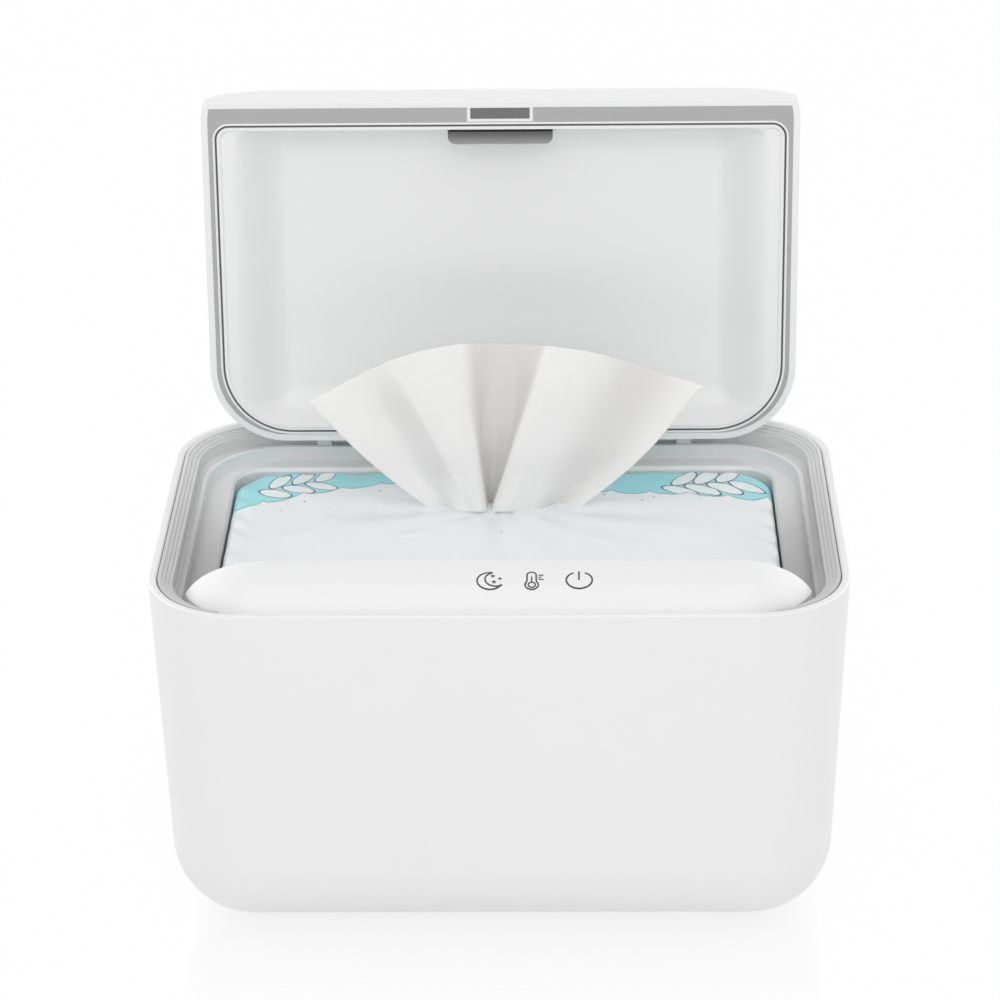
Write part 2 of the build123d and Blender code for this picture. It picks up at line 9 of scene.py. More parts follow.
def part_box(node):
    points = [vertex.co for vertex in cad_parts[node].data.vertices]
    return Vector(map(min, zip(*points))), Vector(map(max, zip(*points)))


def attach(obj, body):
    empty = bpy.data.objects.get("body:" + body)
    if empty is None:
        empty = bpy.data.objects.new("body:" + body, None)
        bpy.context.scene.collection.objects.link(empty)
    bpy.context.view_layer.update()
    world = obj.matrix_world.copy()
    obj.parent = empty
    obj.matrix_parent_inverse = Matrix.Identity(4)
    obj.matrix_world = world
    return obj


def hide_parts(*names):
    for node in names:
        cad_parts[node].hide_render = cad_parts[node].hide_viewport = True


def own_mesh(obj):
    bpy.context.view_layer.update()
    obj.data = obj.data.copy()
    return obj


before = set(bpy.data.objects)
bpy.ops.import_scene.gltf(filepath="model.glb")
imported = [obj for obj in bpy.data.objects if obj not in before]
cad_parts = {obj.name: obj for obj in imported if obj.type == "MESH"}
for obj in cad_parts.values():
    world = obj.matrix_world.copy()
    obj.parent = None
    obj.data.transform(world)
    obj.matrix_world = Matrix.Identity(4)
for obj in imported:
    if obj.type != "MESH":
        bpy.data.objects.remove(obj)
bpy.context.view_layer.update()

mm = 0.001


# ------------------------------------------------------------ shader wiring

class Wire:
    """An output of a shader node that works in sums like a number."""

    def __init__(self, finish, socket):
        self.finish = finish
        self.socket = socket

    def worked(self, operation, *values):
        return self.finish.add("ShaderNodeMath", {"operation": operation}, dict(enumerate(values)))

    def __add__(self, other):
        return self.worked("ADD", self, other)

    def __sub__(self, other):
        return self.worked("SUBTRACT", self, other)

    def __rsub__(self, other):
        return self.worked("SUBTRACT", other, self)

    def __mul__(self, other):
        return self.worked("MULTIPLY", self, other)

    def __truediv__(self, other):
        return self.worked("DIVIDE", self, other)

    def __abs__(self):
        return self.worked("ABSOLUTE", self)

    __radd__ = __add__
    __rmul__ = __mul__

    def least(self, other):
        return self.worked("MINIMUM", self, other)

    def most(self, other):
        return self.worked("MAXIMUM", self, other)

    def sine(self):
        return self.worked("SINE", self)

    def root(self):
        return self.worked("SQRT", self)

    def rising(self, start, end):
        """0 below start, 1 above end, with a soft step between."""
        values = {"Value": self, "From Min": start, "From Max": end}
        return self.finish.add("ShaderNodeMapRange", {"interpolation_type": "SMOOTHSTEP"}, values)


class Finish:
    """The nodes of one material, or of the room round the object."""

    def __init__(self, tree, shader):
        self.tree = tree
        self.shader = tree.nodes[shader]

    def add(self, kind, settings=None, values=None, output=0):
        node = self.tree.nodes.new(kind)
        for setting, choice in (settings or {}).items():
            setattr(node, setting, choice)
        for name, value in (values or {}).items():
            self.feed(node.inputs[name], value)
        return Wire(self, node.outputs[output])

    def feed(self, socket, value):
        if isinstance(value, Wire):
            self.tree.links.new(value.socket, socket)
        else:
            socket.default_value = value

    def wear(self, **inputs):
        """Feed inputs of the shader itself, with plain values or with wires."""
        for name, value in inputs.items():
            self.feed(self.shader.inputs[name.replace("_", " ")], value)

    @cached_property
    def place(self):
        """Where a point lies on the object, in metres."""
        return self.add("ShaderNodeTexCoord", output="Object")

    def axis(self, name):
        return self.add("ShaderNodeSeparateXYZ", {}, {0: self.place}, name)

    def ray(self, kind):
        """1 on the light's paths of one kind, 0 on the others."""
        return self.add("ShaderNodeLightPath", output="Is " + kind + " Ray")

    def speckle(self, per_metre, detail, stretch=None):
        place = self.place
        if stretch:
            place = self.add("ShaderNodeVectorMath", {"operation": "MULTIPLY"}, {0: place, 1: stretch})
        values = {"Vector": place, "Scale": per_metre, "Detail": detail, "Roughness": 0.55}
        return self.add("ShaderNodeTexNoise", {}, values)

    def cells(self, per_metre):
        return self.add("ShaderNodeTexVoronoi", {}, {"Vector": self.place, "Scale": per_metre})

    def between(self, share, low, high):
        """A colour between low and high, through the colour sockets of a Mix node."""
        return self.add("ShaderNodeMix", {"data_type": "RGBA"}, {0: share, 6: low, 7: high}, 2)

    def relief(self, height, depth, strength=1.0):
        """A bump whose height of 1 stands for a depth in metres."""
        values = {"Height": height, "Distance": depth, "Strength": strength}
        return self.add("ShaderNodeBump", {}, values)


finishes = {}


def finish(name, colour, rough, **fixed):
    """A new material with plain values. What varies over it is fed later with wear()."""
    material = bpy.data.materials.new(name)
    material.use_nodes = True
    material.diffuse_color = colour
    finishes[name] = material
    made = Finish(material.node_tree, "Principled BSDF")
    made.wear(Base_Color=colour, Roughness=rough, **fixed)
    return made


def grey(level, warm=0.0):
    """A near neutral colour from a linear level. Warm is the lift of red over blue."""
    return (level * (1 + warm), level, level * (1 - warm), 1.0)


# ------------------------------------------------------------ finishes

def spark_grain(made, rough, grain):
    """Give moulded plastic its fine spark-eroded grain and faint flow marks, and return both."""
    flow = made.speckle(14, 2)
    fine = made.speckle(2600, 2)
    dull = rough - 0.05 + flow * 0.06 + fine * 0.04
    made.wear(Roughness=dull, Normal=made.relief(fine, 0.012 * mm * grain, 0.5))
    return flow, fine


def moulded(name, level, rough, grain=1.0, **fixed):
    """Moulded plastic of one tone."""
    made = finish(name, grey(level), rough, **fixed)
    flow, fine = spark_grain(made, rough, grain)
    uneven = 0.015
    tone = made.between(flow * 0.7 + fine * 0.3, grey(level * (1 - uneven)), grey(level * (1 + uneven)))
    made.wear(Base_Color=tone)


def grey_plastic_with_painted_light(name, front, rear, rough, grain=1.0):
    """Moulded grey plastic with painted light: paler towards the rear of the warmer, as if its rear were
    better lit.
    """
    made = finish(name, grey((front + rear) / 2), rough)
    fine = spark_grain(made, rough, grain)[1]
    # Painted light: this share towards the rear paints the part paler there.
    back = made.axis("Y").rising(-40 * mm, 62 * mm)
    made.wear(Base_Color=made.between(back * 0.97 + fine * 0.03, grey(front), grey(rear)))


def rubber(name):
    made = finish(name, grey(0.05), 0.8)
    crumb = made.speckle(3200, 3)
    dust = made.speckle(120, 4).rising(0.45, 0.75)
    tone = made.between(crumb * 0.4 + dust * 0.6, grey(0.035), grey(0.075))
    made.wear(Base_Color=tone, Roughness=0.7 + crumb * 0.2, Normal=made.relief(crumb, 0.03 * mm))


def turned_steel(name, level):
    """Plated steel with fine turning lines round its axis and a few dull spots."""
    made = finish(name, grey(level), 0.3, Metallic=1.0)
    lines = made.speckle(300, 2, (1.0, 1.0, 14.0))
    spots = made.speckle(700, 3)
    tone = made.between(spots, grey(level * 0.85), grey(level))
    made.wear(Base_Color=tone, Roughness=0.22 + lines * 0.2, Normal=made.relief(lines, 0.01 * mm))


def brushed_aluminium(name):
    made = finish(name, grey(0.72), 0.35, Metallic=1.0)
    strokes = made.speckle(60, 4, (1.0, 40.0, 40.0))
    tone = made.between(strokes, grey(0.64), grey(0.78))
    relief = made.relief(strokes, 0.012 * mm)
    made.wear(Base_Color=tone, Roughness=0.28 + strokes * 0.2, Normal=relief)


def printed_heater(name):
    """Amber film over a meander of resistance track."""
    made = finish(name, (0.62, 0.26, 0.05, 1), 0.35)
    pitch = 3.2 * mm
    run = abs((made.axis("X") / pitch * pi).sine()).rising(0.35, 0.6)
    ends = abs(made.axis("Y")).rising(34 * mm, 35 * mm)
    track = run * (1 - ends)
    tone = made.between(track, (0.60, 0.24, 0.045, 1), (0.36, 0.17, 0.07, 1))
    made.wear(Base_Color=tone, Roughness=0.3 + track * 0.15, Normal=made.relief(track, 0.05 * mm))


def pressed_felt(name):
    made = finish(name, grey(0.68, 0.03), 0.95)
    fibre = made.speckle(900, 5, (1.0, 0.35, 1.0))
    tuft = made.speckle(260, 4)
    tone = made.between(fibre * 0.6 + tuft * 0.4, grey(0.52, 0.05), grey(0.78, 0.02))
    made.wear(Base_Color=tone, Normal=made.relief(fibre + tuft, 0.12 * mm))


def circuit_board(name):
    """Green solder mask over copper tracks, with tinned pads."""
    made = finish(name, (0.02, 0.16, 0.06, 1), 0.3, Coat_Weight=0.3)
    bricks = {"Vector": made.place, "Scale": 260.0, "Mortar Size": 0.09,
              "Brick Width": 1.7, "Row Height": 0.55}
    lanes = made.add("ShaderNodeTexBrick", {"offset": 0.5}, bricks, "Fac")
    pads = 1 - made.cells(420).rising(0.16, 0.2)
    mask = made.between(lanes, (0.015, 0.13, 0.05, 1), (0.035, 0.22, 0.09, 1))
    tone = made.between(pads, mask, grey(0.55))
    relief = made.relief(lanes + pads, 0.035 * mm)
    made.wear(Base_Color=tone, Roughness=0.28 + pads * 0.15, Normal=relief)


def ceramic_magnet(name, level):
    made = finish(name, grey(level), 0.5)
    sinter = made.speckle(1500, 4)
    tone = made.between(sinter, grey(level * 0.8), grey(level * 1.2))
    made.wear(Base_Color=tone, Roughness=0.42 + sinter * 0.2, Normal=made.relief(sinter, 0.02 * mm))


def shaded_catch(name):
    """Dark plastic of the catch block with painted light: paler towards its lower edge in the open lid.
    """
    made = finish(name, grey(0.12), 0.45)
    low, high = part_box("magnet_holder")
    # Painted light: the lower part of the block is painted paler.
    lower = 1 - made.axis("Z").rising(low.z, high.z)
    fine = made.speckle(2200, 2)
    tone = made.between(lower * 0.9 + fine * 0.1, grey(0.075), grey(0.30))
    made.wear(Base_Color=tone, Roughness=0.4 + fine * 0.1, Normal=made.relief(fine, 0.01 * mm, 0.5))


def sprig(made, foot_x, foot_y, lean, leaves, length):
    """How far a point is from a row of paired leaves on one stalk: below 1 is inside a leaf.

    The stalk's foot and length are in metres and its lean is in degrees.
    """
    splay = radians(48)
    half = length * 0.26
    half_width = half * 0.42
    lean = radians(lean)
    nearest = None
    for index in range(leaves):
        turn = lean + (splay if index % 2 else -splay)
        along = (index + 0.5) * length / leaves
        off_x = made.axis("X") - (foot_x + along * cos(lean) + cos(turn) * half)
        off_y = made.axis("Y") - (foot_y + along * sin(lean) + sin(turn) * half)
        lengthwise = (off_x * cos(turn) + off_y * sin(turn)) / half
        crosswise = (off_y * cos(turn) - off_x * sin(turn)) / half_width
        leaf = lengthwise * lengthwise + crosswise * crosswise
        nearest = nearest.least(leaf) if nearest else leaf
    return nearest


def printed_film(name):
    """Pale soft film printed with teal scalloped fields, outlined leaves and a few dots."""
    made = finish(name, (0.84, 0.87, 0.89, 1), 0.32, Coat_Weight=0.15, Coat_Roughness=0.25)
    leaf_white = (0.84, 0.89, 0.90, 1)
    ink = (0.03, 0.10, 0.13, 1)
    x = made.axis("X")
    y = made.axis("Y")

    scallop = abs((x * (pi / (13 * mm)) + 0.6).sine()).root() * (3.4 * mm)
    left_edge = 25 * mm + (x + 92 * mm) * 0.34
    right_edge = 35.5 * mm - (x - 30 * mm) * 0.08 + (30 * mm - x).most(0) * 0.9
    field = (y - left_edge + scallop).most(y - right_edge + scallop)
    filled = field.rising(0.0, 0.12 * mm)
    outline = 1 - abs(field - 0.1 * mm).rising(0.16 * mm, 0.3 * mm)

    left_sprig = sprig(made, -84 * mm, 36 * mm, 18, 6, 24 * mm)
    right_sprig = sprig(made, 52 * mm, 37 * mm, 12, 7, 27 * mm)
    leaves = left_sprig.least(right_sprig)
    inside = 1 - leaves.rising(0.92, 1.0)
    rim = (1 - abs(leaves - 1.06).rising(0.10, 0.2)) * filled
    near_field = 1 - abs(field + 5 * mm).rising(3 * mm, 6 * mm)
    dots = (1 - made.cells(230).rising(0.07, 0.10)) * near_field

    cloudy = made.speckle(45, 3)
    ground = made.between(cloudy, (0.82, 0.855, 0.88, 1), (0.86, 0.885, 0.90, 1))
    teal = made.between(cloudy, (0.31, 0.72, 0.77, 1), (0.40, 0.80, 0.84, 1))
    print_tone = made.between(filled, ground, teal)
    print_tone = made.between(inside * filled, print_tone, leaf_white)
    print_tone = made.between(outline.most(rim).most(dots) * 0.85, print_tone, ink)

    crinkle = made.speckle(240, 4).rising(0.3, 0.7)
    relief = made.relief(crinkle, 0.05 * mm, 0.6)
    made.wear(Base_Color=print_tone, Roughness=0.28 + crinkle * 0.12, Normal=relief)


def nonwoven(name):
    """Damp wipe cloth: matted fibres and a faint embossed diamond grid, with painted shade that makes
    its folds greyer.
    """
    made = finish(name, (0.86, 0.85, 0.83, 1), 0.85, Sheen_Weight=0.15, Sheen_Roughness=0.5)
    x = made.axis("X")
    z = made.axis("Z")
    per_diamond = 2 * pi / (2.6 * mm)
    emboss = (((x + z) * per_diamond).sine() * ((x - z) * per_diamond).sine()).rising(-0.2, 0.7)
    fibre = made.speckle(1400, 5, (1.0, 1.0, 0.4))
    matted = made.speckle(160, 4)
    unshaded_cloth_tone = made.between(fibre * 0.5 + matted * 0.5, (0.88, 0.872, 0.86, 1), (0.95, 0.943, 0.93, 1))
    # Painted shade: a grey painted into the folds, by a share stored on the wipe's points.
    thin = made.add("ShaderNodeAttribute", {"attribute_name": "thin"}, output="Fac")
    tone = made.between(thin, unshaded_cloth_tone, (0.75, 0.735, 0.725, 1))
    relief = made.relief(emboss * 0.4 + fibre * 0.6, 0.045 * mm, 0.7)
    made.wear(Base_Color=tone, Roughness=0.8 + matted * 0.12, Normal=relief)


def sign_print(name):
    made = finish(name, grey(0.05), 0.55)
    screen = made.speckle(3000, 2)
    made.wear(Base_Color=made.between(screen, grey(0.04), grey(0.06)), Roughness=0.5 + screen * 0.1)


def dress_the_frame():
    """Give every solid of the frame its finish, by the slots that it wears."""
    worn = {node: [slot.material.name for slot in solid.material_slots]
            for node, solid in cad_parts.items()}
    for old in {name for names in worn.values() for name in names}:
        bpy.data.materials[old].name = old + ".bare"
    for name, level, rough in (("casing_white", 0.82, 0.42), ("panel_white", 0.82, 0.40),
                               ("lid_white", 0.82, 0.42)):
        moulded(name, level, rough, Coat_Weight=0.5, Coat_Roughness=0.35)
    moulded("liner_white", 0.83, 0.45)
    moulded("seal_white", 0.82, 0.55, grain=0.6)
    moulded("underside_white", 0.80, 0.55, grain=1.6)
    # The ring and the tank wear painted light, paler towards the rear.
    grey_plastic_with_painted_light("light_ring_plastic", 0.56, 0.72, 0.38, grain=0.5)
    grey_plastic_with_painted_light("tank_grey", 0.40, 0.82, 0.40)
    moulded("trim_grey", 0.405, 0.42)
    # Painted shade: the dark grey of the strip in the seal's groove.
    moulded("bed_grey", 0.10, 0.6)
    moulded("jack_black", 0.03, 0.4)
    moulded("sensor_black", 0.04, 0.5)
    rubber("foot_rubber")
    turned_steel("screw_steel", 0.62)
    turned_steel("pin_steel", 0.58)
    brushed_aluminium("plate_aluminium")
    printed_heater("heater_film")
    pressed_felt("insulation_felt")
    circuit_board("board_green")
    ceramic_magnet("magnet_metal", 0.25)
    ceramic_magnet("magnet_dark", 0.15)
    shaded_catch("catch_grey")
    printed_film("pack_film")
    nonwoven("wipe_fabric")
    sign_print("sign_print")
    for node, names in worn.items():
        for slot, name in zip(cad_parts[node].material_slots, names):
            slot.material = finishes[name]


# ------------------------------------------------------------ mesh helpers

def piece(name, points, faces, material):
    """A smooth mesh from points in millimetres."""
    mesh = bpy.data.meshes.new(name)
    mesh.from_pydata([Vector(point) * mm for point in points], [], faces)
    mesh.validate()
    mesh.polygons.foreach_set("use_smooth", [True] * len(mesh.polygons))
    mesh.materials.append(finishes[material])
    made = bpy.data.objects.new(name, mesh)
    bpy.context.collection.objects.link(made)
    return made


def grid_faces(across, up, closed=False):
    """Faces of a grid whose points run up first and then across."""
    faces = []
    for column in range(across if closed else across - 1):
        beside = (column + 1) % across
        for row in range(up - 1):
            first = column * up + row
            second = beside * up + row
            faces.append((first, second, second + 1, first + 1))
    return faces


def rounded_outline(half_x, front, rear, front_corner, rear_corner, around):
    """Points round a rectangle with rounded corners, from its right side on to the rear."""
    points = []
    middle = (front + rear) / 2
    half_y = (rear - front) / 2
    for step in range(around):
        turn = 2 * pi * step / around
        reach = 1 / max(abs(cos(turn)), abs(sin(turn)))
        x = cos(turn) * reach * half_x
        y = sin(turn) * reach * half_y
        corner = rear_corner if y > 0 else front_corner
        over_x = abs(x) - (half_x - corner)
        over_y = abs(y) - (half_y - corner)
        if over_x > 0 and over_y > 0:
            pull = corner / hypot(over_x, over_y)
            x = (half_x - corner + over_x * pull) * (1 if x > 0 else -1)
            y = (half_y - corner + over_y * pull) * (1 if y > 0 else -1)
        points.append((x, middle + y))
    return points


def through(stations, place):
    """Smooth value at a place on a line of (place, value) stations."""
    if place <= stations[0][0]:
        return stations[0][1]
    for index in range(len(stations) - 1):
        start, low = stations[index]
        end, high = stations[index + 1]
        if place <= end:
            before = stations[max(index - 1, 0)]
            after = stations[min(index + 2, len(stations) - 1)]
            t = (place - start) / (end - start)
            leave = (high - before[1]) / (end - before[0]) * (end - start)
            arrive = (after[1] - low) / (after[0] - start) * (end - start)
            a = 2 * t ** 3 - 3 * t ** 2 + 1
            b = t ** 3 - 2 * t ** 2 + t
            c = -2 * t ** 3 + 3 * t ** 2
            d = t ** 3 - t ** 2
            return a * low + b * leave + c * high + d * arrive
    return stations[-1][1]


def soft_step(value, start, end):
    """0 before start, 1 after end, with a soft step between."""
    t = min(max((value - start) / (end - start), 0.0), 1.0)
    return t * t * (3 - 2 * t)


def quarter_round(share):
    """Height on a quarter circle, from 0 at its foot to 1 at its crown and beyond."""
    return sqrt(1 - (1 - min(max(share, 0.0), 1.0)) ** 2)


# ------------------------------------------------------------ inside of the lid

# Pieces of the lid are worked out for the closed lid, whose lower edge is level, and swung open.
hinge_y, hinge_z = 59.42, 119.1
lid_turn = radians(95.3)
lid_level = 110.05


def opened(x, y, z):
    """Swing a point of the closed lid about the hinge to where the open lid has it."""
    off_y, off_z = y - hinge_y, z - hinge_z
    open_y = hinge_y + off_y * cos(lid_turn) + off_z * sin(lid_turn)
    open_z = hinge_z - off_y * sin(lid_turn) + off_z * cos(lid_turn)
    return x, open_y, open_z


def lid_tray():
    """Moulded tray of the lid: a level land inside the seal that dips softly into the middle."""
    half_x, front, rear = 92.6, -49.6, 53.5
    front_corner, rear_corner = 3.15, 21.6
    middle = (front + rear) / 2
    depth, land = 13.9, 0.5
    side_start, side_end = 3.0, 20.5
    end_round = 12.0
    rim_scale, rim_height = 1.001, 1.2
    rows, around = 80, 480
    points = []
    for edge_x, edge_y in rounded_outline(half_x, front, rear, front_corner, rear_corner, around):
        for row in range(rows):
            share = max(1 - (1 - row / (rows - 1)) ** 1.6, 0.003)
            x = edge_x * share
            y = middle + (edge_y - middle) * share
            inward = (1 - share) * hypot(edge_x, edge_y - middle)
            side = soft_step(half_x - abs(x), side_start, side_end)
            ahead = quarter_round((y - front) / end_round)
            behind = quarter_round((rear - y) / end_round)
            hollow = max(1 - sqrt((1 - side) ** 2 + (1 - ahead) ** 2 + (1 - behind) ** 2), 0.0)
            dip = land * min(inward / 0.5, 1.0)
            dip += (depth - land) * hollow * min(inward / 5.0, 1.0) ** 0.5
            points.append(opened(x, y, lid_level + dip))
        rim_y = middle + (edge_y - middle) * rim_scale
        points.append(opened(edge_x * rim_scale, rim_y, lid_level + rim_height))
    tray = piece("lid_tray", points, grid_faces(around, rows + 1, True), "liner_white")
    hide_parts("lid_liner")
    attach(tray, "lid")


def lid_bar(name, sides, low, high, closed, material):
    """A square-edged bar in the lid, between the inner and the outer side that it is given."""
    points = []
    for inner, outer in sides:
        for place, level in ((inner, low), (outer, low), (outer, high), (inner, high)):
            points.append(opened(*place, lid_level + level))
    corners = 4
    stations = len(sides)
    faces = []
    for station in range(stations if closed else stations - 1):
        here, there = station * corners, (station + 1) % stations * corners
        for corner in range(corners):
            beside = (corner + 1) % corners
            faces.append((here + corner, here + beside, there + beside, there + corner))
    if not closed:
        last = (stations - 1) * corners
        faces += [tuple(range(corners))[::-1], tuple(range(last, last + corners))]
    bar = piece(name, points, faces, material)
    bar.data.polygons.foreach_set("use_smooth", [False] * len(bar.data.polygons))
    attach(bar, "lid")


def trim_tails():
    """The trim's two ends, which thin out between the shell and the seal round the rear corners."""
    inner_x, inner_y, inner_radius = 70.95, 31.92, 24.06
    outer_x, outer_y, outer_radius = 73.1, 32.77, 23.22
    turns = [radians(82 * step / 40) for step in range(41)]
    for side, name in ((-1, "trim_tail_left"), (1, "trim_tail_right")):
        sides = [(((inner_x + inner_radius * cos(turn)) * side, inner_y + inner_radius * sin(turn)),
                  ((outer_x + outer_radius * cos(turn)) * side, outer_y + outer_radius * sin(turn)))
                 for turn in turns]
        lid_bar(name, sides, -0.1, 3.0, False, "trim_grey")


def seal_bed():
    """Dark strip put at the bottom of the seal's groove as painted shade, which shows as the dark line
    round the tray.
    """
    around = 480
    inner = rounded_outline(93.58, -50.66, 54.56, 4.14, 22.64, around)
    outer = rounded_outline(94.22, -51.3, 55.2, 4.78, 23.28, around)
    lid_bar("seal_bed", list(zip(inner, outer)), 0.15, 2.05, True, "bed_grey")


# ------------------------------------------------------------ pack of wipes

slit_y = 20.5
slit_half = 22.0


def film_height(x, y, inward):
    """Height of the film's top: crowned, drawn up at the slit, crinkled at its edge."""
    away = hypot(max(abs(x) - slit_half, 0.0), y - slit_y)
    angle = atan2(y - slit_y, x * 0.6)
    crown = 1.5 * soft_step(inward, 0.0, 34.0)
    rays = sin(angle * 11 + 1.6 * noise.noise((x / 30, y / 30, 2.0)))
    drawn = 0.55 * rays * exp(-away / 26) * soft_step(away, 0, 8)
    lifted = 0.9 * exp(-(away / 3.5) ** 2)
    swell = 0.5 * noise.noise((x / 34, y / 22, 5.0)) * soft_step(inward, 0.0, 14.0)
    ridge = 1 - abs(noise.noise((x / 17, y / 25, 9.0)))
    crease = 0.3 * max(ridge - 0.86, 0.0) / 0.14 * soft_step(inward, 1.0, 10.0)
    crimps = sin(x * 0.42 + y * 0.5 + 3 * noise.noise((x / 22, y / 22, 1.0)))
    edge = 0.38 * crimps * exp(-((inward - 3) / 4) ** 2)
    return crown + drawn + lifted + swell + crease + edge


def wipes_bag():
    """Soft film bag of wipes that fills the well, with a crinkled top."""
    low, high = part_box("wipes_pack")
    middle_y = (low.y + high.y) / 2 / mm
    half_x = high.x / mm
    half_y = (high.y - low.y) / 2 / mm
    bottom = low.z / mm
    shoulder = high.z / mm - 1.8
    corner = 16.0
    edge_drop, edge_round = 1.7, 3.0
    around, rows = 288, 60
    drops = (6.0, 11.0, 18.0, 27.0, 38.0, 50.0, shoulder - bottom)
    points = []
    for edge_x, edge_y in rounded_outline(half_x, -half_y, half_y, corner, corner, around):
        for row in range(rows):
            share = max(sin(pi / 2 * row / (rows - 1)), 0.004)
            x = edge_x * share
            y = middle_y + edge_y * share
            inward = (1 - share) * hypot(edge_x, edge_y)
            fall = edge_drop * (1 - quarter_round(inward / edge_round))
            points.append((x, y, shoulder + film_height(x, y, inward) - fall))
        for drop in drops:
            sag = 1 + (noise.noise((edge_x / 12, edge_y / 12, drop / 9)) - 1) * 0.004
            points.append((edge_x * sag, middle_y + edge_y * sag, shoulder - drop))
        points.append((0.2 * edge_x, middle_y + 0.2 * edge_y, bottom))
    faces = grid_faces(around, rows + len(drops) + 1, True)
    bag = piece("wipes_bag", points, faces, "pack_film")
    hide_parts("wipes_pack")
    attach(bag, "base")


# ------------------------------------------------------------ drawn wipe

# Stations along the fan, from 0 at its left tip to 1 at its right one.
# The depths say how far the folds stand back from a flat fan.
fan_top_x = ((0.0, -62.6), (0.14, -42.0), (0.32, -20.3), (0.48, -2.2), (0.66, 24.3), (0.82, 42.4),
             (1.0, 65.9))
fan_top_z = ((0.0, 153.4), (0.14, 165.4), (0.32, 172.4), (0.48, 174.4), (0.66, 171.6),
             (0.82, 167.0), (1.0, 158.8))
fan_foot_x = ((0.0, -22.6), (0.1, -19.6), (0.25, -13.5), (0.4, -5.2), (0.5, -4.4), (0.6, -3.4),
              (0.74, 8.0), (0.88, 17.5), (1.0, 24.0))
fan_top_deep = ((0.0, 0.0), (0.12, 4.0), (0.2, -2.5), (0.34, -2.0), (0.5, 4.0), (0.62, -3.5),
                (0.76, -1.0), (0.9, 4.0), (1.0, 1.0))
fan_foot_deep = ((0.0, 1.0), (0.12, 3.0), (0.25, -2.6), (0.37, -3.0), (0.5, 3.0), (0.62, -3.2),
                 (0.74, -1.6), (0.87, 3.0), (1.0, 1.0))


def left_fold(v):
    """Place along the fan of the edge of its left fold, which slants outwards to the top."""
    return 0.285 - 0.11 * v


def crease_step(u, v):
    """Back the middle panel lies behind the two fold edges beside it."""
    wide = 0.008 + 0.04 * soft_step(v, 0.35, 1.0)
    left = soft_step(u, 0.405 - wide, 0.405 + 2 * wide)
    right = 1 - soft_step(u, 0.585 - wide, 0.585 + 0.5 * wide)
    return (4.0 + 3.0 * soft_step(v, 0.0, 0.3) - 2.5 * v) * left * right


def painted_fold_shade_share(u, v):
    """Share of painted shade here: the middle panel, the hollow beside the left fold and the right side
    are painted greyer.
    """
    middle = soft_step(u, 0.385, 0.43) * (1 - soft_step(u, 0.585, 0.60)) * 0.95
    fold = left_fold(v)
    left = soft_step(u, fold - 0.15, fold - 0.02) * (1 - soft_step(u, fold - 0.01, fold + 0.012))
    left *= 0.62 * soft_step(v, 0.05, 0.3) * (1 - 0.8 * soft_step(v, 0.7, 1.0))
    right = soft_step(u, 0.70, 0.85) * (1 - soft_step(u, 0.88, 1.0)) * 0.72
    return max(middle, left, right)


def drawn_wipe():
    """The wipe drawn half out of the pack: gathered at its foot and fanned into folds."""
    across, up = 220, 100
    foot_y, top_y = 18.8, 8.0
    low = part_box("wipe")[0].z / mm
    foot_z = low - 1.6
    fall_per_depth = 0.47
    points = []
    fold_shade_shares = []
    for column in range(across):
        u = column / (across - 1)
        start_x, end_x = through(fan_foot_x, u), through(fan_top_x, u)
        end_z = through(fan_top_z, u)
        outward = 3.0 * soft_step(u, 0.72, 1.0) - 1.5 * soft_step(0.28 - u, 0.0, 0.28)
        for row in range(up):
            v = row / (up - 1)
            bulge = outward * sin(pi * min(v * 1.1, 1.0)) ** 1.3
            x = start_x + (end_x - start_x) * v ** 0.95 + bulge
            open_up = soft_step(v, 0.0, 0.85)
            deep = through(fan_foot_deep, u) * (1 - open_up) + through(fan_top_deep, u) * open_up
            gather = 0.7 * sin(u * 44 + 1.3) * (1 - soft_step(v, 0.0, 0.4))
            soft = 0.9 * noise.noise((u * 6, v * 2.2, 3.0)) * v
            fine = 0.16 * noise.noise((u * 24, v * 7, 8.0))
            back = deep + gather + soft + fine + crease_step(u, v)
            y = foot_y + (top_y - foot_y) * v + back
            z = foot_z + (end_z - foot_z) * v - fall_per_depth * back
            points.append((x, y, max(z, foot_z)))
            # Painted shade in the folds, stored on the points for the cloth's finish.
            fold_shade_shares.append(painted_fold_shade_share(u, v))
    cloth = piece("drawn_wipe", points, grid_faces(across, up), "wipe_fabric")
    cloth.data.attributes.new("thin", "FLOAT", "POINT").data.foreach_set("value", fold_shade_shares)
    thick = cloth.modifiers.new("thickness", "SOLIDIFY")
    thick.thickness = 0.35 * mm
    thick.offset = 0.0
    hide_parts("wipe")
    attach(cloth, "base")
    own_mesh(cloth)


# ------------------------------------------------------------ printed signs

def ellipse(middle_x, middle_y, reach_x, reach_y, start, end, steps=48):
    """Points of an arc, from one angle to another in degrees."""
    turns = [radians(start + (end - start) * step / steps) for step in range(steps + 1)]
    return [(middle_x + reach_x * cos(turn), middle_y + reach_y * sin(turn)) for turn in turns]


def straight(start, end, steps=8):
    """Points of a straight line."""
    (start_x, start_y), (end_x, end_y) = start, end
    return [(start_x + (end_x - start_x) * step / steps, start_y + (end_y - start_y) * step / steps)
            for step in range(steps + 1)]


def line_strip(path, width):
    """A flat strip of a given width that follows a path."""
    points = []
    for index, (x, y) in enumerate(path):
        before = path[max(index - 1, 0)]
        after = path[min(index + 1, len(path) - 1)]
        along_x, along_y = after[0] - before[0], after[1] - before[1]
        length = hypot(along_x, along_y)
        side_x, side_y = -along_y / length * width / 2, along_x / length * width / 2
        points += [(x + side_x, y + side_y), (x - side_x, y - side_y)]
    faces = [(2 * step, 2 * step + 1, 2 * step + 3, 2 * step + 2) for step in range(len(path) - 1)]
    return points, faces


